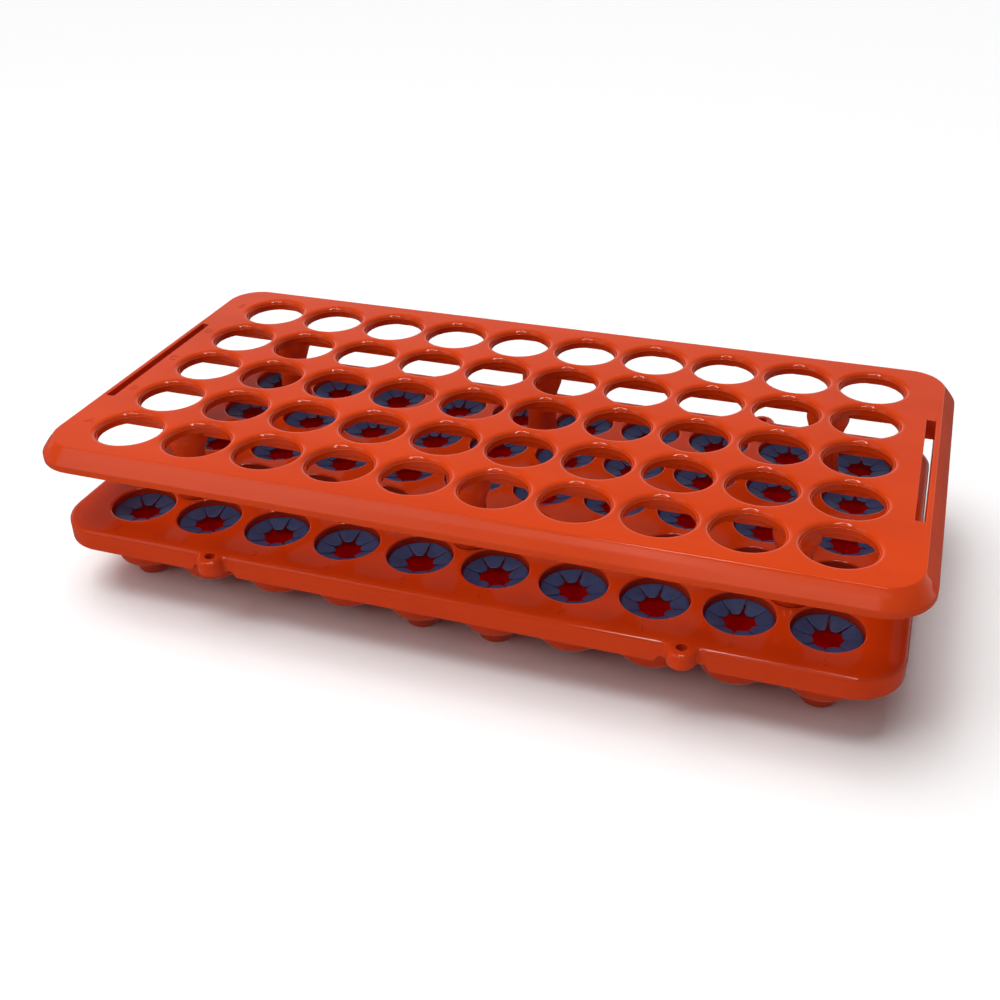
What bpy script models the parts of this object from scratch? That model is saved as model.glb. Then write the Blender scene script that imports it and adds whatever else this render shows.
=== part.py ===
"""Two-tier tube rack: a perforated top plate on six posts over a tray of cups, each cup lined by a soft star gripper.

Metres, +Z up. X runs along the long side, the feet stand on z = 0 and the rack is centred on the Z axis.
"""

import math

import bmesh
import bpy

MM = 0.001

# The grid of wells drives everything else.
PITCH = 20.0 * MM
COLUMNS = 10
ROWS = 5
ROW_LETTERS = "abcde"

# Heights of the main planes above the table.
CUP_BOTTOM_Z = 4.4 * MM
TRAY_SKIRT_Z = 13.9 * MM
TRAY_TOP_Z = 19.8 * MM
PLATE_SKIRT_Z = 36.9 * MM
PLATE_TOP_Z = 42.8 * MM

# Top plate.
PLATE_HALF = (111.4 * MM, 57.0 * MM)
PLATE_CORNER_R = 12.4 * MM
PLATE_BEVEL_IN = 3.2 * MM
PLATE_BEVEL_DOWN = 4.0 * MM
PLATE_THICKNESS = 3.0 * MM
PLATE_SKIRT_WALL = 2.8 * MM
HOLE_R = 8.4 * MM
RIB_ROWS = (-1.5, -0.5, 0.5, 1.5)
RIB_WIDTH = 2.0 * MM
RIB_DEPTH = 4.7 * MM
SLOT_X = (104.7 * MM, 107.0 * MM)
SLOT_HALF_LENGTH = 25.2 * MM
SLOT_COLLAR = 2.0 * MM
# Ribs and collars end inside the skirt and the plate, clear of the sloping border.
JOIN_X = 109.2 * MM
JOIN_Z = 40.6 * MM

# Posts that stand between the tiers: (height above the table, radius) from the foot up.
POST_COLUMNS = (-4.0, 0.0, 4.0)
POST_ROWS = (-1.5, 1.5)
FIT_GAP = 0.3 * MM
POST_FOOT_Z = TRAY_TOP_Z + FIT_GAP
SPIGOT_R = 2.2 * MM
SPIGOT_LENGTH = 2.0 * MM
POST_PROFILE = (
    (POST_FOOT_Z - SPIGOT_LENGTH, SPIGOT_R),
    (POST_FOOT_Z, SPIGOT_R),
    (POST_FOOT_Z, 4.9 * MM),
    (21.4 * MM, 4.4 * MM),
    (24.0 * MM, 4.1 * MM),
    (32.4 * MM, 4.1 * MM),
    (35.0 * MM, 4.7 * MM),
    (37.6 * MM, 5.5 * MM),
    (JOIN_Z, 5.5 * MM),
)

# Tray.
TRAY_HALF = (108.0 * MM, 56.4 * MM)
TRAY_CORNER_R = 12.4 * MM
TRAY_EDGE_R = 1.2 * MM
TRAY_THICKNESS = 2.6 * MM
TRAY_SKIRT_WALL = 2.4 * MM
WELL_R = 8.4 * MM
SHOULDER_Z = 15.6 * MM
CUP_BORE_R = 7.2 * MM
CUP_BORE_TAPER_Z = 7.4 * MM
CUP_FLOOR_R = 4.2 * MM
CUP_FLOOR_Z = 5.7 * MM
CUP_OUTSIDE = ((CUP_BOTTOM_Z, 6.8 * MM), (7.2 * MM, 8.6 * MM), (18.4 * MM, 9.3 * MM))

# Every other outside feature of the tray.
FOOT_COLUMNS = (0, 4, 5, 9)
FOOT_ROWS = (0, 4)
FOOT_PROFILE = ((0.0, 4.0 * MM), (0.5 * MM, 4.5 * MM), (5.0 * MM, 4.8 * MM))
BOSS_X = 60.0 * MM
BOSS_Y = 56.8 * MM
BOSS_R = 3.4 * MM
BOSS_HOLE_R = 1.3 * MM
BOSS_BOTTOM_Z = 15.7 * MM
NOTCH_HALF_WIDTH = 5.8 * MM
NOTCH_TOP_Z = 15.3 * MM

# Grippers.
GRIPPER_R = 8.1 * MM
GRIPPER_OPENING_R = 3.3 * MM
GRIPPER_THICKNESS = 1.5 * MM
GRIPPER_TURN = math.radians(17.0)

# How finely round shapes are cut.
HOLE_SIDES = 16
CUP_SIDES = 12
POST_SIDES = 12
OPENING_SIDES = 8
CORNER_STEPS = 6

# Sweep of a cutter beyond the material it goes through.
CLEAR = 1.0 * MM

ORANGE = (0.66, 0.072, 0.024, 1.0)
TRAY_ORANGE = (0.60, 0.055, 0.018, 1.0)
BLUE = (0.055, 0.065, 0.20, 1.0)


def clear_scene():
    """Empty the file, so that the script gives the same result wherever it runs."""
    for obj in list(bpy.data.objects):
        bpy.data.objects.remove(obj, do_unlink=True)


def plastic(name, colour, roughness):
    """One Principled material."""
    material = bpy.data.materials.new(name)
    material.use_nodes = True
    shader = material.node_tree.nodes["Principled BSDF"]
    shader.inputs["Base Color"].default_value = colour
    shader.inputs["Roughness"].default_value = roughness
    shader.inputs["Metallic"].default_value = 0.0
    material.diffuse_color = colour
    return material


def rounded_rectangle(half_x, half_y, radius, z):
    """Corner points of a rounded rectangle, counter-clockwise."""
    points = []
    for quarter, (side_x, side_y) in enumerate(((1, 1), (-1, 1), (-1, -1), (1, -1))):
        for step in range(CORNER_STEPS + 1):
            angle = math.radians(90.0 * (quarter + step / CORNER_STEPS))
            x = side_x * (half_x - radius) + radius * math.cos(angle)
            y = side_y * (half_y - radius) + radius * math.sin(angle)
            points.append((x, y, z))
    return points


def circle(centre_x, centre_y, radius, z, sides):
    """Points of a regular polygon around a vertical axis, counter-clockwise."""
    angles = [2 * math.pi * step / sides for step in range(sides)]
    return [(centre_x + radius * math.cos(a), centre_y + radius * math.sin(a), z) for a in angles]


def add_stack(bm, loops):
    """Skin a stack of equal loops, lowest first, into one closed body."""
    rings = [[bm.verts.new(point) for point in loop] for loop in loops]
    for low, high in zip(rings, rings[1:]):
        count = len(low)
        for i in range(count):
            j = (i + 1) % count
            bm.faces.new((low[i], low[j], high[j], high[i]))
    bm.faces.new(reversed(rings[0]))
    bm.faces.new(rings[-1])


def add_box(bm, low, high):
    """One closed box between two corners."""
    corners = ((low[0], low[1]), (high[0], low[1]), (high[0], high[1]), (low[0], high[1]))
    add_stack(bm, [[(x, y, z) for x, y in corners] for z in (low[2], high[2])])


def add_turned(bm, centres, profile, sides):
    """The same turned body, given as (z, radius) from the bottom up, on each centre."""
    for x, y in centres:
        add_stack(bm, [circle(x, y, radius, z, sides) for z, radius in profile])


def finish_mesh(bm, name):
    """Turn a bmesh into a mesh whose faces all point outwards."""
    bmesh.ops.recalc_face_normals(bm, faces=bm.faces)
    mesh = bpy.data.meshes.new(name)
    bm.to_mesh(mesh)
    bm.free()
    return mesh


def make_object(name, mesh, material=None):
    """Link a mesh into the scene as a shaded-smooth object."""
    obj = bpy.data.objects.new(name, mesh)
    bpy.context.scene.collection.objects.link(obj)
    if material:
        mesh.materials.append(material)
    mesh.shade_smooth()
    mesh.set_sharp_from_angle(angle=math.radians(35.0))
    return obj


def tool(name, build):
    """A helper for a Boolean: out of the render, drawn as wire."""
    bm = bmesh.new()
    build(bm)
    obj = make_object(name, finish_mesh(bm, name))
    obj.hide_render = True
    obj.display_type = "WIRE"
    return obj


def combine(target, operation, helper):
    """Add one exact Boolean to the target."""
    modifier = target.modifiers.new(helper.name, "BOOLEAN")
    modifier.operation = operation
    modifier.solver = "EXACT"
    modifier.object = helper


def grid_point(column, row):
    """Centre of a well; column 0, row 0 is the front left one."""
    return ((column - (COLUMNS - 1) / 2) * PITCH, (row - (ROWS - 1) / 2) * PITCH)


def well_centres():
    return [grid_point(column, row) for row in range(ROWS) for column in range(COLUMNS)]


def post_centres():
    return [(column * PITCH, row * PITCH) for row in POST_ROWS for column in POST_COLUMNS]


def plate_shell(bm):
    """Skirt, sloping border and flat top as one solid block."""
    half_x, half_y = PLATE_HALF
    inner_x = half_x - PLATE_BEVEL_IN
    inner_y = half_y - PLATE_BEVEL_IN
    inner_r = PLATE_CORNER_R - PLATE_BEVEL_IN
    bevel_z = PLATE_TOP_Z - PLATE_BEVEL_DOWN
    add_stack(
        bm,
        [
            rounded_rectangle(half_x, half_y, PLATE_CORNER_R, PLATE_SKIRT_Z),
            rounded_rectangle(half_x, half_y, PLATE_CORNER_R, bevel_z),
            rounded_rectangle(inner_x, inner_y, inner_r, PLATE_TOP_Z),
        ],
    )


def plate_hollow(bm):
    """The open underside inside the skirt."""
    half_x = PLATE_HALF[0] - PLATE_SKIRT_WALL
    half_y = PLATE_HALF[1] - PLATE_SKIRT_WALL
    radius = PLATE_CORNER_R - PLATE_SKIRT_WALL
    for_z = (PLATE_SKIRT_Z - CLEAR, PLATE_TOP_Z - PLATE_THICKNESS)
    add_stack(bm, [rounded_rectangle(half_x, half_y, radius, z) for z in for_z])


def plate_ribs(bm):
    """Stiffening ribs between the rows of holes."""
    for row in RIB_ROWS:
        y = row * PITCH
        low = (-JOIN_X, y - RIB_WIDTH / 2, PLATE_TOP_Z - RIB_DEPTH)
        add_box(bm, low, (JOIN_X, y + RIB_WIDTH / 2, JOIN_Z))


def slot_collars(bm):
    """A block of material around each end slot."""
    half_y = SLOT_HALF_LENGTH + SLOT_COLLAR
    low_z = PLATE_SKIRT_Z + FIT_GAP
    inner = SLOT_X[0] - SLOT_COLLAR
    add_box(bm, (inner, -half_y, low_z), (JOIN_X, half_y, JOIN_Z))
    add_box(bm, (-JOIN_X, -half_y, low_z), (-inner, half_y, JOIN_Z))


def plate_cuts(bm):
    """Every tube hole, and the two end slots."""
    low_z = PLATE_SKIRT_Z - CLEAR
    high_z = PLATE_TOP_Z + CLEAR
    add_turned(bm, well_centres(), ((low_z, HOLE_R), (high_z, HOLE_R)), HOLE_SIDES)
    near, far = SLOT_X
    add_box(bm, (near, -SLOT_HALF_LENGTH, low_z), (far, SLOT_HALF_LENGTH, high_z))
    add_box(bm, (-far, -SLOT_HALF_LENGTH, low_z), (-near, SLOT_HALF_LENGTH, high_z))


def build_top_plate(material):
    """Upper tier with its six posts. It lifts off along the empty's Z axis."""
    bm = bmesh.new()
    plate_shell(bm)
    plate = make_object("top_plate", finish_mesh(bm, "top_plate"), material)
    combine(plate, "DIFFERENCE", tool("plate_hollow", plate_hollow))
    combine(plate, "UNION", tool("plate_ribs", plate_ribs))
    combine(plate, "UNION", tool("slot_collars", slot_collars))

    def posts(bm):
        add_turned(bm, post_centres(), POST_PROFILE, POST_SIDES)

    combine(plate, "UNION", tool("posts", posts))
    combine(plate, "DIFFERENCE", tool("plate_cuts", plate_cuts))

    lift = bpy.data.objects.new("top_plate_lift", None)
    bpy.context.scene.collection.objects.link(lift)
    lift.location = (0.0, 0.0, POST_FOOT_Z)
    plate.parent = lift
    plate.location = (0.0, 0.0, -POST_FOOT_Z)
    return plate


def tray_shell(bm):
    """Tray block with a rounded top edge."""
    half_x, half_y = TRAY_HALF
    loops = [rounded_rectangle(half_x, half_y, TRAY_CORNER_R, TRAY_SKIRT_Z)]
    for angle in (0.0, 45.0, 90.0):
        inset = TRAY_EDGE_R * (1 - math.cos(math.radians(angle)))
        z = TRAY_TOP_Z - TRAY_EDGE_R * (1 - math.sin(math.radians(angle)))
        loops.append(rounded_rectangle(half_x - inset, half_y - inset, TRAY_CORNER_R - inset, z))
    add_stack(bm, loops)


def tray_hollow(bm):
    """The open underside inside the tray's skirt."""
    half_x = TRAY_HALF[0] - TRAY_SKIRT_WALL
    half_y = TRAY_HALF[1] - TRAY_SKIRT_WALL
    radius = TRAY_CORNER_R - TRAY_SKIRT_WALL
    for_z = (TRAY_SKIRT_Z - CLEAR, TRAY_TOP_Z - TRAY_THICKNESS)
    add_stack(bm, [rounded_rectangle(half_x, half_y, radius, z) for z in for_z])


def skirt_notches(bm):
    """The skirt's lower edge is cut back around each boss."""
    for x in (-BOSS_X, BOSS_X):
        for side in (-1, 1):
            y_low, y_high = sorted((side * (BOSS_Y - 4 * MM), side * (BOSS_Y + CLEAR)))
            low = (x - NOTCH_HALF_WIDTH, y_low, TRAY_SKIRT_Z - CLEAR)
            add_box(bm, low, (x + NOTCH_HALF_WIDTH, y_high, NOTCH_TOP_Z))


def boss_centres():
    return [(x, y) for x in (-BOSS_X, BOSS_X) for y in (-BOSS_Y, BOSS_Y)]


def tray_cups(bm):
    add_turned(bm, well_centres(), CUP_OUTSIDE, CUP_SIDES)


def tray_feet(bm):
    centres = [grid_point(column, row) for column in FOOT_COLUMNS for row in FOOT_ROWS]
    add_turned(bm, centres, FOOT_PROFILE, CUP_SIDES)


def tray_bosses(bm):
    profile = ((BOSS_BOTTOM_Z, BOSS_R), (TRAY_TOP_Z, BOSS_R))
    add_turned(bm, boss_centres(), profile, POST_SIDES)


def tray_cuts(bm):
    """Stepped wells, boss holes and the sockets that take the posts' spigots."""
    above = TRAY_TOP_Z + CLEAR
    well = (
        (CUP_FLOOR_Z, CUP_FLOOR_R),
        (CUP_BORE_TAPER_Z, CUP_BORE_R),
        (SHOULDER_Z, CUP_BORE_R),
        (SHOULDER_Z, WELL_R),
        (above, WELL_R),
    )
    add_turned(bm, well_centres(), well, CUP_SIDES)
    boss_hole = ((BOSS_BOTTOM_Z - CLEAR, BOSS_HOLE_R), (above, BOSS_HOLE_R))
    add_turned(bm, boss_centres(), boss_hole, CUP_SIDES)
    socket_r = SPIGOT_R + FIT_GAP
    socket = ((TRAY_TOP_Z - TRAY_THICKNESS - CLEAR, socket_r), (above, socket_r))
    add_turned(bm, post_centres(), socket, CUP_SIDES)


def build_tray(material):
    """Lower tier: a skirted plate with a cup under every hole, feet and side bosses."""
    bm = bmesh.new()
    tray_shell(bm)
    tray = make_object("tray", finish_mesh(bm, "tray"), material)
    combine(tray, "DIFFERENCE", tool("tray_hollow", tray_hollow))
    combine(tray, "DIFFERENCE", tool("skirt_notches", skirt_notches))
    combine(tray, "UNION", tool("tray_bosses", tray_bosses))
    combine(tray, "UNION", tool("tray_cups", tray_cups))
    combine(tray, "UNION", tool("tray_feet", tray_feet))
    combine(tray, "DIFFERENCE", tool("tray_cuts", tray_cuts))
    return tray


def gripper_mesh(material):
    """A soft ring around its own axis; z = 0 is its underside."""
    bm = bmesh.new()
    rings = []
    for radius, sides in ((GRIPPER_R, CUP_SIDES), (GRIPPER_OPENING_R, OPENING_SIDES)):
        for z in (0.0, GRIPPER_THICKNESS):
            points = circle(0.0, 0.0, radius, z, sides)
            rings.append([bm.verts.new(point) for point in points])
    for low, high in (rings[:2], rings[2:]):
        for i in range(len(low)):
            j = (i + 1) % len(low)
            bm.faces.new((low[i], low[j], high[j], high[i]))
    for level in (0, 1):
        edges = []
        for ring in (rings[level], rings[level + 2]):
            edges += [bm.edges.get((ring[i - 1], ring[i])) for i in range(len(ring))]
        bmesh.ops.triangle_fill(bm, use_beauty=True, use_dissolve=False, edges=edges)
    mesh = finish_mesh(bm, "gripper")
    mesh.materials.append(material)
    mesh.shade_smooth()
    mesh.set_sharp_from_angle(angle=math.radians(35.0))
    return mesh


def build_grippers(material, tray):
    """One gripper in every well, each turned a little further than the last."""
    mesh = gripper_mesh(material)
    underside = SHOULDER_Z + FIT_GAP
    for row in range(ROWS):
        for column in range(COLUMNS):
            x, y = grid_point(column, row)
            obj = bpy.data.objects.new(f"gripper_{ROW_LETTERS[row]}{column + 1}", mesh)
            bpy.context.scene.collection.objects.link(obj)
            obj.location = (x, y, underside)
            obj.rotation_euler = (0.0, 0.0, GRIPPER_TURN * (row * COLUMNS + column))
            obj.parent = tray


def main():
    clear_scene()
    build_top_plate(plastic("orange_plate_plastic", ORANGE, 0.32))
    tray = build_tray(plastic("orange_tray_plastic", TRAY_ORANGE, 0.32))
    build_grippers(plastic("blue_elastomer", BLUE, 0.5), tray)


main()
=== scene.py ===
"""The looks of the two-tier test tube rack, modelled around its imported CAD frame.

Every CAD node is replaced by a finer piece in the same place: the top plate with its posts, the tray with its
cups, and fifty soft star grippers. Lengths are metres, and X runs along the long side.
"""

import math
import random
from collections import namedtuple

import bmesh
import bpy
from mathutils import Matrix, Vector


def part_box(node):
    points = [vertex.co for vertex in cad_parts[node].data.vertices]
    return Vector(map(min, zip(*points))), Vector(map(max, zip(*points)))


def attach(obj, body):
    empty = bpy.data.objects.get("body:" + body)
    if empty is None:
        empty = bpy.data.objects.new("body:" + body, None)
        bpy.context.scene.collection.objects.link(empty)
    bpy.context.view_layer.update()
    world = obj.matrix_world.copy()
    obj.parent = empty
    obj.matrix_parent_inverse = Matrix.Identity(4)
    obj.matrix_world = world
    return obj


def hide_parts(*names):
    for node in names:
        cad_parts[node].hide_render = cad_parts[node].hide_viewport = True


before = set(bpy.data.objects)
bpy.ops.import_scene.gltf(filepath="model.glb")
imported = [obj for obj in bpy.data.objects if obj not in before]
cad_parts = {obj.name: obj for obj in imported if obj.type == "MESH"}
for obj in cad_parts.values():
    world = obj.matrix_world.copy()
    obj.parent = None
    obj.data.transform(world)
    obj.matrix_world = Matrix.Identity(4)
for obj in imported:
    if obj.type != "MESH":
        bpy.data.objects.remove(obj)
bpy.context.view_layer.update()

MM = 0.001

# Places and sizes that the frame gives.
PLATE_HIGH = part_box("top_plate")[1]
TRAY_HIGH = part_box("tray")[1]
GRIPPER_LOW, GRIPPER_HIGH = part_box("gripper_a1")
NEXT_LOW, NEXT_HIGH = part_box("gripper_a2")
PITCH = round(NEXT_HIGH.x + NEXT_LOW.x - GRIPPER_HIGH.x - GRIPPER_LOW.x, 5) / 2
PLATE_TOP = PLATE_HIGH.z
TRAY_TOP = TRAY_HIGH.z

COLUMNS = 10
ROWS = "abcde"

# Fineness of round shapes.
SEGMENTS = 64
CUP_SEGMENTS = 48
POST_SEGMENTS = 48
SOCKET_SEGMENTS = 32
LUG_HOLE_SEGMENTS = 24
FILLET_STEPS = 5
SMALL_FILLET_STEPS = 3
CORNER_STEPS = 16
SHARP_ANGLE = 40
NORMAL_WEIGHT = 90

# How far off a path's first and last corner lie, which only give its direction.
LEAD = 5 * MM

# Top plate.
PLATE_CORNER_R = 12.4 * MM
PLATE_UNDER = PLATE_TOP - 3.0 * MM
PLATE_SKIRT_Z = PLATE_TOP - 5.9 * MM
BORDER_IN = 3.2 * MM
BORDER_DOWN = 4.0 * MM
PLATE_WALL = 2.8 * MM
HOLE_R = 8.4 * MM
LIP_ACROSS = 0.38 * MM
LIP_DOWN = 1.15 * MM
LIP_R = 1.41 * MM
HOLE_STEP = 0.15 * MM
RIB_BOTTOM = PLATE_TOP - 4.7 * MM
RIB_HALF_WIDTH = 1.0 * MM
RIB_GAP = 0.6 * MM
SLOT_CENTRE_X = 105.85 * MM
SLOT_HALF = (1.15 * MM, 25.2 * MM)
SLOT_CORNER_R = 0.35 * MM
COLLAR_WALL = 1.3 * MM
COLLAR_BOTTOM = PLATE_SKIRT_Z + 0.3 * MM

# The (inset, z, rounding) corner that crowns the border, and the ribs' distances from the middle in pitches.
CROWN = (0.47 * BORDER_IN, PLATE_TOP - 0.48 * BORDER_DOWN, 8.0 * MM)
RIBS = (-1.5, -0.5, 0.5, 1.5)

# Posts, with their profile as (radius, z, rounding) corners.
POST_X = 4 * PITCH
POST_Y = 1.5 * PITCH
POST_ROOT = PLATE_UNDER + 1.5 * MM
POST_FOOT = TRAY_TOP + 0.05 * MM
SPIGOT_R = 2.2 * MM
SPIGOT_BOTTOM = TRAY_TOP - 1.7 * MM
SOCKET_R = 2.5 * MM
POST_PROFILE = (
    (0.0, POST_ROOT, 0),
    (5.7 * MM, POST_ROOT, 0),
    (5.6 * MM, PLATE_TOP - 6.0 * MM, 3.0 * MM),
    (4.1 * MM, PLATE_TOP - 10.5 * MM, 6.0 * MM),
    (4.1 * MM, TRAY_TOP + 3.6 * MM, 5.0 * MM),
    (4.9 * MM, POST_FOOT, 0.3 * MM),
    (SPIGOT_R, POST_FOOT, 0),
    (SPIGOT_R, SPIGOT_BOTTOM, 0.4 * MM),
    (0.0, SPIGOT_BOTTOM, 0),
)

# Tray.
TRAY_HALF = (TRAY_HIGH.x, 56.4 * MM)
TRAY_CORNER_R = 12.4 * MM
TRAY_EDGE_R = 1.2 * MM
TRAY_UNDER = TRAY_TOP - 2.6 * MM
TRAY_SKIRT_Z = TRAY_TOP - 5.9 * MM
TRAY_WALL = 2.4 * MM
ROLL_START = 0.1 * MM
WELL_R = 8.4 * MM
WELL_LIP = 0.55 * MM
SHOULDER_Z = TRAY_TOP - 3.3 * MM
BORE_R = 7.2 * MM
BORE_LOW_R = 7.0 * MM
CUP_FLOOR_Z = 5.7 * MM
CUP_FLOOR_FILLET = 3.5 * MM
CUP_TOP_R = 9.2 * MM
CUP_LOW_R = 8.6 * MM
CUP_BOTTOM_Z = 4.4 * MM
CUP_BOTTOM_FILLET = 2.0 * MM
FOOT_TOP_Z = CUP_BOTTOM_Z + 0.8 * MM
FOOT_TOP_R = 4.8 * MM
FOOT_LOW_R = 4.5 * MM
FOOT_COLUMNS = (0, 4, 5, 9)
FOOT_ROWS = (0, 4)

# Small lugs on the tray's long sides, and the notches in the skirt around them.
LUG_X = 60.0 * MM
LUG_R = 3.4 * MM
LUG_OUT = 0.4 * MM
LUG_FILLET = 1.2 * MM
LUG_HOLE_R = 1.3 * MM
NOTCH_HALF = 5.4 * MM
NOTCH_RAMP = 0.9 * MM
NOTCH_LIFT = 1.7 * MM
NOTCHED_Z = TRAY_TOP - 4.5 * MM
FRONT = Vector((0, -1))

# Star grippers. The star has one radius at the petals' tips and a larger one between them.
PETALS = 8
STAR_TIP_R = 3.6 * MM
STAR_SPIKE_R = 4.8 * MM
SLIT_END_R = 7.9 * MM
GRIPPER_R = GRIPPER_HIGH.x - (GRIPPER_HIGH.x + GRIPPER_LOW.x) / 2
GRIPPER_THICKNESS = 0.6 * MM
GRIPPER_RAISE = 0.9 * MM
SLIT_HALF_WIDTHS = (0.07 * MM, 0.1 * MM, 0.14 * MM, 0.18 * MM)
REAR_SLIT_HALF_WIDTH = 0.24 * MM
REAR_SLIT = 1
DISH = 0.9 * MM
EDGE_DROP = 0.16 * MM
RIM_DROP = 0.3 * MM
RIM_START = 0.86
BEAD = 0.12 * MM
BEAD_REACH = 0.3 * MM
EASE = 0.12 * MM
EASE_ANGLE = 50
WELD = 0.004 * MM
HALF_ACROSS_STEPS = 7
ALONG_STEPS = (0.0, 0.03, 0.07, 0.12, 0.18, 0.27, 0.38, 0.5, 0.62, 0.74, 0.86, 0.91, 0.96, 1.0)

# How much the petals differ, in millimetres, and how far the grippers are turned, in radians.
SEED = 7
TIP_R_SPREAD = (-0.45, 0.3)
SAG_SPREAD = (0.0, 0.6)
TURN_SPREAD = (-0.07, 0.07)

# Raised letters and numbers.
LETTER_X = -102.3 * MM
LETTER_BEHIND = 0.8 * MM
LETTER_SIZE = 3.6 * MM
NUMBER_Y = -52.6 * MM
NUMBER_SIZE = 3.4 * MM
LABEL_HEIGHT = 0.06 * MM
LABEL_BEVEL = 0.05 * MM

# Materials: each pair of colours is the darker and the lighter one of a faint mottle.
PLATE_ORANGE = ((0.60, 0.046, 0.003), (0.68, 0.056, 0.005))
TRAY_ORANGE = ((0.57, 0.038, 0.002), (0.65, 0.047, 0.004))
ELASTOMER_BLUE = ((0.021, 0.035, 0.095), (0.031, 0.050, 0.134))
# Painted light: the brighter red painted inside the cups stands in for light that comes through their walls.
CUP_GLOW_COLOUR = (0.98, 0.012, 0.004)
NOISE_MIDDLE = (0.3, 0.7)
IOR = 1.5
PLASTIC_ROUGHNESS = (0.06, 0.1)
ELASTOMER_ROUGHNESS = (0.36, 0.5)

# Noises, as features per metre and detail, and bumps, as strength and height.
FLOW_MARKS = (45, 3, (0.35, 1, 1))
PLASTIC_GLOSS = (120, 4)
PLASTIC_RIPPLE = (700, 2)
RIPPLE_BUMP = (0.06, 0.02 * MM)
ELASTOMER_CLOUDS = (300, 4)
ELASTOMER_GLOSS = (600, 3)
ELASTOMER_GRAIN = (2500, 3)
GRAIN_BUMP = (0.2, 0.03 * MM)

# Where the plastic is duller: on the sloping border along the plate's long sides.
SCUFFS = 0.13
SCUFFED_Y = (PLATE_HIGH.y - 2.9 * MM, PLATE_HIGH.y - 2.7 * MM)
SCUFFED_Z = (PLATE_TOP - 4.6 * MM, PLATE_TOP - 4.4 * MM)

# Where the tray gets a painted glow, a brighter red that stands in for light through the cups' walls: inside
# the cups, between their floors and the level of the skirt's edge.
CUP_GLOW_WITHIN = (BORE_R + 0.1 * MM, BORE_R + 0.3 * MM)
CUP_GLOW_ABOVE = (CUP_BOTTOM_Z + 0.2 * MM, CUP_FLOOR_Z - 0.2 * MM)
CUP_GLOW_BELOW = (TRAY_SKIRT_Z - 0.5 * MM, TRAY_SKIRT_Z - 0.3 * MM)

# Stage. SKY and GLOW are strengths, and the camera's places are in millimetres.
WHITE = (1.0, 1.0, 1.0)
BLACK = (0.0, 0.0, 0.0)
FLOOR_HALF = 4.0
FLOOR_ROUGHNESS = 0.7
SKY = 0.12
GLOW = 0.75
GLOW_EDGE = 0.002
GLOW_TOP = 0.55
GLOW_BEHIND = (0.0, 0.7)
OVERHEAD = 2.85
OVERHEAD_ANGLE = 55
OVERHEAD_WAY = (0.28, -0.1, -1.0)
LIT_POINT = (0.02, -0.02, 0.04)
CAMERA_LENS = 44.87
CAMERA_PLACE = (96.8, -276.9, 193.6)
CAMERA_TARGET = (6.3, -25.3, 30.0)
CAMERA_ROLL = -1.19
CAMERA_CLIP = 0.01

OutlinePoint = namedtuple("OutlinePoint", "outer outward base base_outward lift lug")
Petal = namedtuple("Petal", "tip_r sag slits")
Softbox = namedtuple("Softbox", "name way distance size watts lights shines")

# Soft boxes, each with its way and distance from the lit point. It lights surfaces, shines in gloss, or both.
SOFTBOXES = (
    Softbox("fill_left", (-0.5, -0.62, 0.6), 0.5, (0.25, 0.25), 0.36, True, False),
    Softbox("softbox_far_left", (-0.62, -0.58, 0.6), 0.9, (0.5, 0.7), 0.6, True, True),
    Softbox("strip_left", (-0.09, -0.37, 0.92), 0.9, (0.08, 0.6), 1.35, False, True),
    Softbox("strip_right", (0.21, -0.32, 0.92), 0.9, (0.08, 0.6), 1.35, False, True),
    Softbox("panel_front", (0.06, -0.77, 0.64), 0.9, (0.33, 0.2), 0.19, False, True),
)


# Shapes


def soften(corners, steps=FILLET_STEPS):
    """A path through (across, z, radius) corners, each rounded. The first and last only give a direction."""
    path = []
    for before, corner, after in zip(corners, corners[1:], corners[2:]):
        here = Vector(corner[:2])
        radius = corner[2]
        if radius == 0:
            path.append(here)
            continue
        back = (Vector(before[:2]) - here).normalized()
        ahead = (Vector(after[:2]) - here).normalized()
        half = back.angle(ahead) / 2
        centre = here + (back + ahead).normalized() * radius / math.sin(half)
        start = here + back * radius / math.tan(half) - centre
        end = here + ahead * radius / math.tan(half) - centre
        sweep = start.angle(end)
        for step in range(steps + 1):
            angle = sweep * step / steps
            spoke = (start * math.sin(sweep - angle) + end * math.sin(angle)) / math.sin(sweep)
            path.append(centre + spoke)
    return path


def arc(centre, radius, start, end, steps):
    """(point, direction from the centre) pairs along an arc, its angles in degrees."""
    pairs = []
    for step in range(steps + 1):
        angle = math.radians(start + (end - start) * step / steps)
        direction = Vector((math.cos(angle), math.sin(angle)))
        pairs.append((Vector(centre) + direction * radius, direction))
    return pairs


def notch_end(lug_x, edge_y, lug, ramp):
    """Points on the straight front edge, where the skirt's lower edge ramps into a notch or out of it."""
    points = []
    for offset, lift in ramp:
        at = Vector((lug_x + offset, edge_y))
        points.append(OutlinePoint(at, FRONT, at, FRONT, lift, lug if lift else None))
    return points


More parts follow.
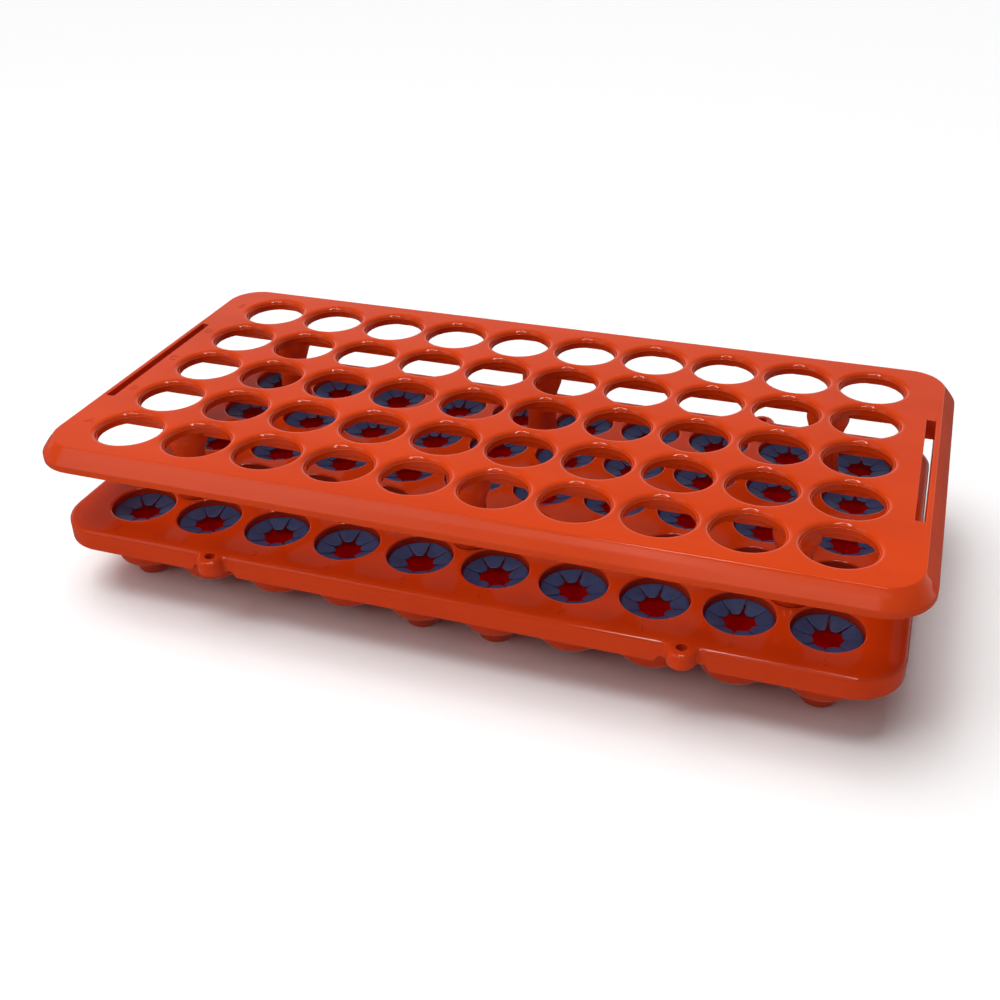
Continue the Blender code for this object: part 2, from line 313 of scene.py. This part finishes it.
def lug_outline(lug_x, edge_y, lug):
    """The outline runs round a lug on the front edge, with a fillet on each side."""
    reach = math.sqrt((LUG_FILLET + LUG_R) ** 2 - (LUG_FILLET - LUG_OUT) ** 2)
    lean = math.degrees(math.atan2(LUG_FILLET - LUG_OUT, reach))
    fillet_y = edge_y - LUG_FILLET
    left = arc((lug_x - reach, fillet_y), LUG_FILLET, 90, lean, FILLET_STEPS)
    nose = arc((lug_x, edge_y - LUG_OUT), LUG_R, 180 + lean, 360 - lean, 2 * CORNER_STEPS)
    right = arc((lug_x + reach, fillet_y), LUG_FILLET, 180 - lean, 90, FILLET_STEPS)
    bend = [(p, -d) for p, d in left] + nose[1:] + [(p, -d) for p, d in right[1:]]
    around = []
    for point, outward in bend:
        base = Vector((point.x, edge_y))
        around.append(OutlinePoint(point, outward, base, FRONT, NOTCH_LIFT, lug))
    ramp_in = ((-NOTCH_HALF - NOTCH_RAMP, 0.0), (-NOTCH_HALF, NOTCH_LIFT))
    ramp_out = ((NOTCH_HALF, NOTCH_LIFT), (NOTCH_HALF + NOTCH_RAMP, 0.0))
    return notch_end(lug_x, edge_y, lug, ramp_in) + around + notch_end(lug_x, edge_y, lug, ramp_out)


def outline(half_x, half_y, radius, lugs=()):
    """Counter-clockwise rounded rectangle, with lugs at the given places along both long sides."""
    half = []
    for point, outward in arc((radius - half_x, radius - half_y), radius, 180, 270, CORNER_STEPS):
        half.append(OutlinePoint(point, outward, point, outward, 0.0, None))
    for number, lug_x in enumerate(lugs):
        half += lug_outline(lug_x, -half_y, number)
    for point, outward in arc((half_x - radius, radius - half_y), radius, 270, 360, CORNER_STEPS):
        half.append(OutlinePoint(point, outward, point, outward, 0.0, None))
    rear = []
    for p in half:
        lug = None if p.lug is None else p.lug + len(lugs)
        rear.append(OutlinePoint(-p.outer, -p.outward, -p.base, -p.base_outward, p.lift, lug))
    return half + rear


def outline_ring(bm, points, inset, z, hollow=False):
    """A loop of vertices inset from the outline.

    A hollow one passes behind the lugs, and a low one rises over the notches.
    """
    ring = []
    for p in points:
        at, outward = (p.base, p.base_outward) if hollow else (p.outer, p.outward)
        x, y = at - outward * inset
        lift = p.lift if z < NOTCHED_Z else 0.0
        ring.append(bm.verts.new((x, y, z + lift)))
    return ring


def skin(bm, rings):
    """Quads between each loop and the next."""
    for first, second in zip(rings, rings[1:]):
        for i in range(len(first)):
            bm.faces.new((first[i - 1], first[i], second[i], second[i - 1]))


def turn(bm, centre, path, segments=SEGMENTS):
    """Turn a path of (radius, z) around a vertical axis, and return its first and last loops."""
    rings = []
    for radius, z in path:
        ring = []
        for step in range(segments):
            angle = 2 * math.pi * step / segments
            x = centre[0] + radius * math.cos(angle)
            y = centre[1] + radius * math.sin(angle)
            ring.append(bm.verts.new((x, y, z)))
        rings.append(ring)
    skin(bm, rings)
    return rings[0], rings[-1]


def ring_edges(bm, ring):
    """The edges of a closed loop of vertices, with those made that aren't there yet."""
    pairs = [(ring[i - 1], ring[i]) for i in range(len(ring))]
    return [bm.edges.get(pair) or bm.edges.new(pair) for pair in pairs]


def fill(bm, rings):
    """Flat face between an outer loop and the loops inside it."""
    edges = [edge for ring in rings for edge in ring_edges(bm, ring)]
    bmesh.ops.triangle_fill(bm, use_beauty=True, use_dissolve=False, edges=edges)


def well_centre(column, row):
    """Where a well is, counted from the left and from the front."""
    return ((column - (COLUMNS - 1) / 2) * PITCH, (row - (len(ROWS) - 1) / 2) * PITCH)


def well_centres():
    """Row by row from the front, as (x, y)."""
    return [well_centre(column, row) for row in range(len(ROWS)) for column in range(COLUMNS)]


def post_centres():
    """Three along the front and three along the rear, as (x, y)."""
    return [(x, y) for y in (-POST_Y, POST_Y) for x in (-POST_X, 0.0, POST_X)]


def make_piece(name, mesh, material, body, replaced=()):
    """Link a mesh as a finished piece that rides on a body."""
    mesh.materials.append(material)
    piece = bpy.data.objects.new(name, mesh)
    bpy.context.scene.collection.objects.link(piece)
    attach(piece, body)
    if replaced:
        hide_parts(*replaced)
    return piece


def smooth_mesh(bm, name):
    """A mesh that shades smoothly over its fillets and flat over its faces."""
    bmesh.ops.recalc_face_normals(bm, faces=bm.faces)
    mesh = bpy.data.meshes.new(name)
    bm.to_mesh(mesh)
    bm.free()
    mesh.shade_smooth()
    mesh.set_sharp_from_angle(angle=math.radians(SHARP_ANGLE))
    return mesh


def weigh_normals(piece):
    """Large flat faces keep their own normals, so that reflections stay straight up to the fillets."""
    modifier = piece.modifiers.new("weigh_normals", "WEIGHTED_NORMAL")
    modifier.keep_sharp = True
    modifier.weight = NORMAL_WEIGHT


# Top plate


def shifted_rings(bm, points, path, centre):
    """An outline's loops along a path of (inset, z), around another centre, with quads between them."""
    rings = [outline_ring(bm, points, inset, z) for inset, z in path]
    for ring in rings:
        for vertex in ring:
            vertex.co.x += centre[0]
            vertex.co.y += centre[1]
    skin(bm, rings)
    return rings[0], rings[-1]


def plate_border(bm, points):
    """From the edge of the flat top over the crowned border and the skirt to the underside."""
    corners = (
        (BORDER_IN + LEAD, PLATE_TOP, 0),
        (BORDER_IN, PLATE_TOP, 0.45 * MM),
        CROWN,
        (0.0, PLATE_TOP - BORDER_DOWN, 0.4 * MM),
        (0.0, PLATE_SKIRT_Z, 0.35 * MM),
        (PLATE_WALL, PLATE_SKIRT_Z, 0.3 * MM),
        (PLATE_WALL, PLATE_UNDER, 0.4 * MM),
        (PLATE_WALL + LEAD, PLATE_UNDER, 0),
    )
    rings = [outline_ring(bm, points, inset, z) for inset, z in soften(corners)]
    skin(bm, rings)
    return rings[0], rings[-1]


def plate_hole(bm, centre):
    """A hole with a rounded lip, which ends in a small step."""
    corners = (
        (HOLE_R + LEAD, PLATE_TOP, 0),
        (HOLE_R + LIP_ACROSS, PLATE_TOP, LIP_R),
        (HOLE_R + HOLE_STEP, PLATE_TOP - LIP_DOWN, 0.03 * MM),
        (HOLE_R, PLATE_TOP - LIP_DOWN - 0.02 * MM, 0.06 * MM),
        (HOLE_R, PLATE_UNDER, 0.25 * MM),
        (HOLE_R + LEAD, PLATE_UNDER, 0),
    )
    return turn(bm, centre, soften(corners))


def plate_slot(bm, side):
    """A slot near one end, with a collar that carries its walls down inside the skirt."""
    points = outline(*SLOT_HALF, SLOT_CORNER_R)
    corners = (
        (-LEAD, PLATE_TOP, 0),
        (0.0, PLATE_TOP, 0.25 * MM),
        (0.0, COLLAR_BOTTOM, 0.2 * MM),
        (-COLLAR_WALL, COLLAR_BOTTOM, 0.3 * MM),
        (-COLLAR_WALL, PLATE_UNDER, 0),
        (-LEAD, PLATE_UNDER, 0),
    )
    return shifted_rings(bm, points, soften(corners), (side * SLOT_CENTRE_X, 0.0))


def plate_rib(bm, y):
    """A rib across the underside, between two rows of holes."""
    inner = SLOT_CENTRE_X - SLOT_HALF[0] - COLLAR_WALL
    outer = PLATE_HIGH.x - PLATE_WALL
    reach = (inner if abs(y) < SLOT_HALF[1] else outer) - RIB_GAP
    points = outline(reach, RIB_HALF_WIDTH, RIB_HALF_WIDTH / 2)
    corners = (
        (-LEAD, PLATE_UNDER, 0),
        (0.0, PLATE_UNDER, 0),
        (0.0, RIB_BOTTOM, 0.3 * MM),
        (LEAD, RIB_BOTTOM, 0),
    )
    root, edge = shifted_rings(bm, points, soften(corners), (0.0, y))
    bm.faces.new(edge)
    return root


def build_plate(material):
    """The plate with its border, holes, slots and ribs, as one closed shell."""
    bm = bmesh.new()
    points = outline(PLATE_HIGH.x, PLATE_HIGH.y, PLATE_CORNER_R)
    top, under = ([ring] for ring in plate_border(bm, points))
    for centre in well_centres():
        upper, lower = plate_hole(bm, centre)
        top.append(upper)
        under.append(lower)
    for side in (-1, 1):
        upper, lower = plate_slot(bm, side)
        top.append(upper)
        under.append(lower)
    for row in RIBS:
        under.append(plate_rib(bm, row * PITCH))
    fill(bm, top)
    fill(bm, under)
    mesh = smooth_mesh(bm, "plate_shell")
    plate = make_piece("plate_shell", mesh, material, "top_plate", ["top_plate"])
    weigh_normals(plate)


def build_posts(material):
    """Six flared posts, each with a spigot that sits in the tray."""
    bm = bmesh.new()
    for centre in post_centres():
        for ring in turn(bm, centre, soften(POST_PROFILE), POST_SEGMENTS):
            bm.faces.new(ring)
    posts = make_piece("posts", smooth_mesh(bm, "posts"), material, "top_plate")
    weigh_normals(posts)


# Tray


def tray_border(bm, points):
    """From the edge of the tray's top over the skirt to its underside.

    Returns the first and last loops of the outside and of the inside, which later faces join.
    """
    outside = soften(
        (
            (LEAD, TRAY_TOP, 0),
            (TRAY_EDGE_R + ROLL_START, TRAY_TOP, 0),
            (0.0, TRAY_TOP, TRAY_EDGE_R),
            (0.0, TRAY_SKIRT_Z, 0.35 * MM),
            (LEAD, TRAY_SKIRT_Z, 0),
        )
    )
    inside = soften(
        (
            (0.0, TRAY_SKIRT_Z, 0),
            (TRAY_WALL, TRAY_SKIRT_Z, 0.3 * MM),
            (TRAY_WALL, TRAY_UNDER, 0.4 * MM),
            (LEAD, TRAY_UNDER, 0),
        )
    )
    outer = [outline_ring(bm, points, inset, z) for inset, z in outside]
    inner = [outline_ring(bm, points, inset, z, hollow=True) for inset, z in inside]
    skin(bm, outer)
    skin(bm, inner)
    return outer[0], outer[-1], inner[0], inner[-1]


def tray_lower_edge(bm, points, outer, inner, lug_rings):
    """Close the skirt's lower edge, with a hole in it at each lug."""
    lug_edges = {lug: ring_edges(bm, ring) for lug, ring in lug_rings.items()}
    for i in range(len(points)):
        lug = points[i].lug
        if lug is not None and lug == points[i - 1].lug:
            lug_edges[lug] += ring_edges(bm, (outer[i - 1], outer[i]))[:1]
            lug_edges[lug] += ring_edges(bm, (inner[i - 1], inner[i]))[:1]
        else:
            bm.faces.new((outer[i - 1], outer[i], inner[i], inner[i - 1]))
            for k, neighbour in ((i - 1, points[i - 1].lug), (i, lug)):
                if neighbour is not None:
                    lug_edges[neighbour].append(bm.edges.get((outer[k], inner[k])))
    for edges in lug_edges.values():
        bmesh.ops.triangle_fill(bm, use_beauty=True, use_dissolve=False, edges=edges)


def tray_lug_hole(bm, centre):
    """A hole down through a lug."""
    bottom = TRAY_SKIRT_Z + NOTCH_LIFT
    corners = (
        (LEAD, TRAY_TOP, 0),
        (LUG_HOLE_R, TRAY_TOP, 0.25 * MM),
        (LUG_HOLE_R, bottom, 0),
        (LEAD, bottom, 0),
    )
    return turn(bm, centre, soften(corners, SMALL_FILLET_STEPS), LUG_HOLE_SEGMENTS)


def tray_well(bm, centre):
    """The stepped well and the bore of the cup below it, down to its rounded floor."""
    corners = (
        (WELL_R + LEAD, TRAY_TOP, 0),
        (WELL_R + WELL_LIP + ROLL_START, TRAY_TOP, 0),
        (WELL_R, TRAY_TOP, WELL_LIP),
        (WELL_R, SHOULDER_Z, 0.2 * MM),
        (BORE_R, SHOULDER_Z, 0.3 * MM),
        (BORE_LOW_R, CUP_FLOOR_Z, CUP_FLOOR_FILLET),
        (0.0, CUP_FLOOR_Z, 0),
    )
    top, floor = turn(bm, centre, soften(corners))
    bm.faces.new(floor)
    return top


def tray_cup(bm, centre):
    """The outside of a cup, under the tray."""
    corners = (
        (CUP_TOP_R + LEAD, TRAY_UNDER, 0),
        (CUP_TOP_R, TRAY_UNDER, 0.3 * MM),
        (CUP_LOW_R, CUP_BOTTOM_Z, CUP_BOTTOM_FILLET),
        (0.0, CUP_BOTTOM_Z, 0),
    )
    top, bottom = turn(bm, centre, soften(corners), CUP_SEGMENTS)
    bm.faces.new(bottom)
    return top


def tray_feet(bm):
    """A round foot under some cups of the outer rows."""
    corners = (
        (0.0, FOOT_TOP_Z, 0),
        (FOOT_TOP_R, FOOT_TOP_Z, 0),
        (FOOT_LOW_R, 0.0, 0.6 * MM),
        (0.0, 0.0, 0),
    )
    for row in FOOT_ROWS:
        for column in FOOT_COLUMNS:
            for ring in turn(bm, well_centre(column, row), soften(corners), CUP_SEGMENTS):
                bm.faces.new(ring)


def tray_socket(bm, centre):
    """A hole that takes a post's spigot."""
    corners = (
        (LEAD, TRAY_TOP, 0),
        (SOCKET_R, TRAY_TOP, 0.3 * MM),
        (SOCKET_R, TRAY_UNDER, 0),
        (LEAD, TRAY_UNDER, 0),
    )
    return turn(bm, centre, soften(corners, SMALL_FILLET_STEPS), SOCKET_SEGMENTS)


def build_tray(material):
    """The tray with its wells, cups, lugs and sockets as one closed shell, and its feet."""
    bm = bmesh.new()
    half_x, half_y = TRAY_HALF
    points = outline(half_x, half_y, TRAY_CORNER_R, (-LUG_X, LUG_X))
    top_edge, low_outer, low_inner, under_edge = tray_border(bm, points)
    top = [top_edge]
    under = [under_edge]
    lug_rings = {}
    lug_y = half_y + LUG_OUT
    lug_centres = ((-LUG_X, -lug_y), (LUG_X, -lug_y), (LUG_X, lug_y), (-LUG_X, lug_y))
    for lug, centre in enumerate(lug_centres):
        upper, lower = tray_lug_hole(bm, centre)
        top.append(upper)
        lug_rings[lug] = lower
    tray_lower_edge(bm, points, low_outer, low_inner, lug_rings)
    for centre in well_centres():
        top.append(tray_well(bm, centre))
        under.append(tray_cup(bm, centre))
    for centre in post_centres():
        upper, lower = tray_socket(bm, centre)
        top.append(upper)
        under.append(lower)
    fill(bm, top)
    fill(bm, under)
    tray_feet(bm)
    mesh = smooth_mesh(bm, "tray_shell")
    tray = make_piece("tray_shell", mesh, material, "tray", ["tray"])
    weigh_normals(tray)


# Star grippers


def petal_point(axis, across, along, petal):
    """A point of a petal.

    across runs from -1 to 1 between its slits, and along from 0 at the star to 1 at the rim.
    """
    rounding = 1 - math.sqrt(max(0.0, 1 - across**4))
    inner_r = petal.tip_r + (STAR_SPIKE_R - petal.tip_r) * rounding
    radius = inner_r + (GRIPPER_R - inner_r) * along
    closing = min(1.0, max(0.0, (SLIT_END_R - radius) / (SLIT_END_R - STAR_SPIKE_R)))
    gap = petal.slits[across > 0] * closing**0.5
    angle = axis + across * math.pi / PETALS - gap * across / radius
    inward = 1 - along
    bead = BEAD * math.exp(-(((radius - inner_r) / BEAD_REACH - 1) ** 2))
    drop = DISH * inward**1.5 + petal.sag * inward**1.5 * (1 - across**4) + EDGE_DROP * across**6 * inward
    rim = RIM_DROP * max(0.0, (along - RIM_START) / (1 - RIM_START)) ** 2
    return (radius * math.cos(angle), radius * math.sin(angle), bead - BEAD - drop - rim)


def petal_faces(bm, axis, petal):
    """The upper skin of one petal."""
    reach = range(-HALF_ACROSS_STEPS, HALF_ACROSS_STEPS + 1)
    across_steps = [math.sin(math.pi / 2 * step / HALF_ACROSS_STEPS) for step in reach]
    rows = []
    for along in ALONG_STEPS:
        row = [petal_point(axis, across, along, petal) for across in across_steps]
        rows.append([bm.verts.new(point) for point in row])
    for low, high in zip(rows, rows[1:]):
        for i in range(len(low) - 1):
            bm.faces.new((low[i], high[i], high[i + 1], low[i + 1]))


def gripper_mesh(name, rng):
    """A disc slit into petals around a star-shaped opening. Its origin is the middle of its upper rim."""
    slits = [rng.choice(SLIT_HALF_WIDTHS) for _ in range(PETALS)]
    slits[REAR_SLIT] = REAR_SLIT_HALF_WIDTH
    bm = bmesh.new()
    for number in range(PETALS):
        tip_r = STAR_TIP_R + rng.uniform(*TIP_R_SPREAD) * MM
        sag = rng.uniform(*SAG_SPREAD) * MM
        petal = Petal(tip_r, sag, (slits[number - 1], slits[number]))
        petal_faces(bm, 2 * math.pi * number / PETALS, petal)
    bmesh.ops.remove_doubles(bm, verts=bm.verts, dist=WELD)
    bmesh.ops.recalc_face_normals(bm, faces=bm.faces)
    mesh = bpy.data.meshes.new(name)
    bm.to_mesh(mesh)
    bm.free()
    mesh.shade_smooth()
    return mesh


def thicken(star):
    """Give a gripper its thickness, below its upper skin, and ease its edges."""
    solid = star.modifiers.new("thicken", "SOLIDIFY")
    solid.thickness = GRIPPER_THICKNESS
    solid.offset = -1
    ease = star.modifiers.new("ease", "BEVEL")
    ease.width = EASE
    ease.segments = 2
    ease.limit_method = "ANGLE"
    ease.angle_limit = math.radians(EASE_ANGLE)


def build_grippers(material):
    """A star gripper in every well, each slit and turned a little differently."""
    rng = random.Random(SEED)
    for letter in ROWS:
        for column in range(COLUMNS):
            node = f"gripper_{letter}{column + 1}"
            low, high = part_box(node)
            middle = (low + high) / 2
            mesh = gripper_mesh(f"{node}_star", rng)
            turn_by = Matrix.Rotation(rng.uniform(*TURN_SPREAD) + math.pi / PETALS, 4, "Z")
            place = Matrix.Translation((middle.x, middle.y, high.z + GRIPPER_RAISE))
            mesh.transform(place @ turn_by)
            star = make_piece(f"{node}_star", mesh, material, "tray", [node])
            thicken(star)


# Raised letters and numbers


def raised_text(words, size, z):
    """Small raised characters, each (text, x, y), as one mesh."""
    bm = bmesh.new()
    for text, x, y in words:
        curve = bpy.data.curves.new("label", "FONT")
        curve.body = text
        curve.size = size
        curve.extrude = LABEL_HEIGHT
        curve.bevel_depth = LABEL_BEVEL
        curve.bevel_resolution = 1
        curve.align_x = "CENTER"
        curve.align_y = "CENTER"
        curve.resolution_u = 4
        label = bpy.data.objects.new("label", curve)
        bpy.context.scene.collection.objects.link(label)
        bpy.context.view_layer.update()
        mesh = bpy.data.meshes.new_from_object(label)
        mesh.transform(Matrix.Translation((x, y, z)))
        bm.from_mesh(mesh)
        bpy.data.objects.remove(label)
        bpy.data.curves.remove(curve)
        bpy.data.meshes.remove(mesh)
    return bm


def build_labels(plate_material, tray_material):
    """Row letters on the plate's left border and column numbers on the tray's front border."""
    letters = []
    for row, letter in enumerate(ROWS):
        letters.append((letter.upper(), LETTER_X, well_centre(0, row)[1] + LETTER_BEHIND))
    mesh = smooth_mesh(raised_text(letters, LETTER_SIZE, PLATE_TOP), "row_letters")
    make_piece("row_letters", mesh, plate_material, "top_plate")
    numbers = [(str(column + 1), well_centre(column, 0)[0], NUMBER_Y) for column in range(COLUMNS)]
    mesh = smooth_mesh(raised_text(numbers, NUMBER_SIZE, TRAY_TOP), "column_numbers")
    make_piece("column_numbers", mesh, tray_material, "tray")


# Materials


def new_material(name):
    """A material with its node tree, its Principled shader and its object coordinates."""
    material = bpy.data.materials.new(name)
    material.use_nodes = True
    tree = material.node_tree
    coordinates = tree.nodes.new("ShaderNodeTexCoord")
    return material, tree, tree.nodes["Principled BSDF"], coordinates.outputs["Object"]


def noise_of(tree, where, scale, detail, stretch=(1, 1, 1)):
    """Noise over an object, its scale in features per metre."""
    mapping = tree.nodes.new("ShaderNodeMapping")
    mapping.inputs["Scale"].default_value = stretch
    tree.links.new(where, mapping.inputs["Vector"])
    texture = tree.nodes.new("ShaderNodeTexNoise")
    texture.inputs["Scale"].default_value = scale
    texture.inputs["Detail"].default_value = detail
    tree.links.new(mapping.outputs["Vector"], texture.inputs["Vector"])
    return texture.outputs["Fac"]


def ramp_of(tree, factor, stops):
    """A colour ramp through (place, colour) stops."""
    ramp = tree.nodes.new("ShaderNodeValToRGB")
    elements = ramp.color_ramp.elements
    while len(elements) < len(stops):
        elements.new(0.5)
    for element, (place, colour) in zip(elements, stops):
        element.position = place
        element.color = (*colour, 1.0)
    tree.links.new(factor, ramp.inputs["Fac"])
    return ramp.outputs["Color"]


def spread(tree, value, source, target):
    """Map one range to another and stop at its ends."""
    node = tree.nodes.new("ShaderNodeMapRange")
    node.inputs["From Min"].default_value, node.inputs["From Max"].default_value = source
    node.inputs["To Min"].default_value, node.inputs["To Max"].default_value = target
    tree.links.new(value, node.inputs["Value"])
    return node.outputs["Result"]


def calculate(tree, operation, *values):
    """A math node, whose values are sockets or numbers."""
    node = tree.nodes.new("ShaderNodeMath")
    node.operation = operation
    for socket, value in zip(node.inputs, values):
        if isinstance(value, float):
            socket.default_value = value
        else:
            tree.links.new(value, socket)
    return node.outputs["Value"]


def coordinate_axes(tree, where):
    """The X, Y and Z outputs of a place."""
    split = tree.nodes.new("ShaderNodeSeparateXYZ")
    tree.links.new(where, split.inputs["Vector"])
    return split.outputs


def mix_colours(tree, factor, first, second):
    """The first colour, a socket, turns into the second, a constant, as the factor goes to 1."""
    mix = tree.nodes.new("ShaderNodeMix")
    mix.data_type = "RGBA"
    first_input, second_input = (socket for socket in mix.inputs if socket.type == "RGBA")
    tree.links.new(factor, mix.inputs["Factor"])
    tree.links.new(first, first_input)
    second_input.default_value = (*second, 1.0)
    return next(socket for socket in mix.outputs if socket.type == "RGBA")


def bump_of(tree, shader, height, strength, distance):
    """A fine relief on a shader."""
    bump = tree.nodes.new("ShaderNodeBump")
    bump.inputs["Strength"].default_value = strength
    bump.inputs["Distance"].default_value = distance
    tree.links.new(height, bump.inputs["Height"])
    tree.links.new(bump.outputs["Normal"], shader.inputs["Normal"])


def cup_glow_mask(tree, axes):
    """Where the painted glow goes: one inside the cups and zero elsewhere, by the distance from the nearest
    cup's axis and by height.
    """
    half = PITCH / 2
    from_axis = tree.nodes.new("ShaderNodeCombineXYZ")
    for axis, distances in (("X", (half, 0.0)), ("Y", (0.0, half))):
        fold = calculate(tree, "PINGPONG", axes[axis], half)
        tree.links.new(spread(tree, fold, (0.0, half), distances), from_axis.inputs[axis])
    distance = tree.nodes.new("ShaderNodeVectorMath")
    distance.operation = "LENGTH"
    tree.links.new(from_axis.outputs["Vector"], distance.inputs["Vector"])
    within = spread(tree, distance.outputs["Value"], CUP_GLOW_WITHIN, (1.0, 0.0))
    above = spread(tree, axes["Z"], CUP_GLOW_ABOVE, (0.0, 1.0))
    below = spread(tree, axes["Z"], CUP_GLOW_BELOW, (1.0, 0.0))
    return calculate(tree, "MULTIPLY", calculate(tree, "MULTIPLY", within, above), below)


def moulded_plastic(name, darker, lighter, paint_cup_glow=False):
    """Glossy moulded plastic: faint flow marks, uneven gloss, a fine ripple and duller long-side borders.

    With paint_cup_glow, the cups' insides are painted a brighter red: painted light that stands in for the
    light that comes through their walls.
    """
    material, tree, shader, where = new_material(name)
    axes = coordinate_axes(tree, where)
    flow = noise_of(tree, where, *FLOW_MARKS)
    colour = ramp_of(tree, flow, ((NOISE_MIDDLE[0], darker), (NOISE_MIDDLE[1], lighter)))
    # Painted glow: the cups' insides turn a brighter red, standing in for light through their walls.
    if paint_cup_glow:
        colour = mix_colours(tree, cup_glow_mask(tree, axes), colour, CUP_GLOW_COLOUR)
    tree.links.new(colour, shader.inputs["Base Color"])
    gloss = spread(tree, noise_of(tree, where, *PLASTIC_GLOSS), NOISE_MIDDLE, PLASTIC_ROUGHNESS)
    long_sides = spread(tree, calculate(tree, "ABSOLUTE", axes["Y"]), SCUFFED_Y, (0.0, 1.0))
    border = spread(tree, axes["Z"], SCUFFED_Z, (0.0, SCUFFS))
    roughness = calculate(tree, "MULTIPLY_ADD", long_sides, border, gloss)
    tree.links.new(roughness, shader.inputs["Roughness"])
    bump_of(tree, shader, noise_of(tree, where, *PLASTIC_RIPPLE), *RIPPLE_BUMP)
    shader.inputs["IOR"].default_value = IOR
    return material


def soft_elastomer(name, darker, lighter):
    """Satin thermoplastic rubber with a slightly cloudy colour."""
    material, tree, shader, where = new_material(name)
    cloud = noise_of(tree, where, *ELASTOMER_CLOUDS)
    colour = ramp_of(tree, cloud, ((NOISE_MIDDLE[0], darker), (NOISE_MIDDLE[1], lighter)))
    tree.links.new(colour, shader.inputs["Base Color"])
    gloss = spread(tree, noise_of(tree, where, *ELASTOMER_GLOSS), NOISE_MIDDLE, ELASTOMER_ROUGHNESS)
    tree.links.new(gloss, shader.inputs["Roughness"])
    bump_of(tree, shader, noise_of(tree, where, *ELASTOMER_GRAIN), *GRAIN_BUMP)
    shader.inputs["IOR"].default_value = IOR
    return material


# Stage


def build_floor():
    """A plain white floor, which the rack's gloss doesn't mirror."""
    bm = bmesh.new()
    bmesh.ops.create_grid(bm, x_segments=1, y_segments=1, size=FLOOR_HALF)
    mesh = bpy.data.meshes.new("floor")
    bm.to_mesh(mesh)
    bm.free()
    material = bpy.data.materials.new("floor_white")
    material.use_nodes = True
    shader = material.node_tree.nodes["Principled BSDF"]
    shader.inputs["Base Color"].default_value = (*WHITE, 1.0)
    shader.inputs["Roughness"].default_value = FLOOR_ROUGHNESS
    mesh.materials.append(material)
    floor = bpy.data.objects.new("floor", mesh)
    bpy.context.scene.collection.objects.link(floor)
    floor.visible_glossy = False


def build_sky():
    """A white backdrop over dim surroundings, with a pale glow low behind the rack for its glossy edges."""
    world = bpy.data.worlds.new("studio")
    bpy.context.scene.world = world
    world.use_nodes = True
    tree = world.node_tree
    coordinates = tree.nodes.new("ShaderNodeTexCoord")
    axes = coordinate_axes(tree, coordinates.outputs["Generated"])
    behind = spread(tree, axes["Y"], GLOW_BEHIND, (0.0, 1.0))
    low = ramp_of(tree, axes["Z"], ((0.0, BLACK), (GLOW_EDGE, (GLOW, GLOW, GLOW)), (GLOW_TOP, BLACK)))
    glow = calculate(tree, "MULTIPLY_ADD", behind, low, SKY)
    seen = tree.nodes.new("ShaderNodeLightPath").outputs["Is Camera Ray"]
    background = tree.nodes["Background"]
    tree.links.new(calculate(tree, "MAXIMUM", seen, glow), background.inputs["Strength"])
    background.inputs["Color"].default_value = (*WHITE, 1.0)


def add_light(name, kind, energy):
    """A light of a kind, at the origin."""
    data = bpy.data.lights.new(name, kind)
    data.energy = energy
    lamp = bpy.data.objects.new(name, data)
    bpy.context.scene.collection.objects.link(lamp)
    return lamp


def build_lights():
    """One broad overhead light that only lights, and the soft boxes around the rack."""
    bpy.context.scene.view_settings.view_transform = "Standard"
    overhead = add_light("overhead", "SUN", OVERHEAD)
    overhead.data.angle = math.radians(OVERHEAD_ANGLE)
    overhead.rotation_euler = Vector(OVERHEAD_WAY).to_track_quat("-Z", "Y").to_euler()
    overhead.visible_glossy = False
    for box in SOFTBOXES:
        way = Vector(box.way).normalized()
        lamp = add_light(box.name, "AREA", box.watts)
        lamp.data.shape = "RECTANGLE"
        lamp.data.size, lamp.data.size_y = box.size
        lamp.location = Vector(LIT_POINT) + way * box.distance
        lamp.rotation_euler = (-way).to_track_quat("-Z", "Y").to_euler()
        lamp.visible_camera = False
        lamp.visible_diffuse = box.lights
        lamp.visible_glossy = box.shines


def build_camera():
    """The viewpoint: a little above and to the right, with a slight roll."""
    data = bpy.data.cameras.new("camera")
    data.lens = CAMERA_LENS
    data.clip_start = CAMERA_CLIP
    camera = bpy.data.objects.new("camera", data)
    bpy.context.scene.collection.objects.link(camera)
    place = Vector(CAMERA_PLACE) * MM
    target = Vector(CAMERA_TARGET) * MM
    look = (target - place).to_track_quat("-Z", "Y").to_matrix().to_4x4()
    roll = Matrix.Rotation(math.radians(CAMERA_ROLL), 4, "Z")
    camera.matrix_world = Matrix.Translation(place) @ look @ roll
    bpy.context.scene.camera = camera


plate_plastic = moulded_plastic("plate_plastic", *PLATE_ORANGE)
tray_plastic_and_cup_glow = moulded_plastic("tray_plastic_and_cup_glow", *TRAY_ORANGE, paint_cup_glow=True)
elastomer = soft_elastomer("blue_elastomer_satin", *ELASTOMER_BLUE)

build_plate(plate_plastic)
build_posts(plate_plastic)
build_tray(tray_plastic_and_cup_glow)
build_grippers(elastomer)
build_labels(plate_plastic, tray_plastic_and_cup_glow)
build_floor()
build_sky()
build_lights()
build_camera()
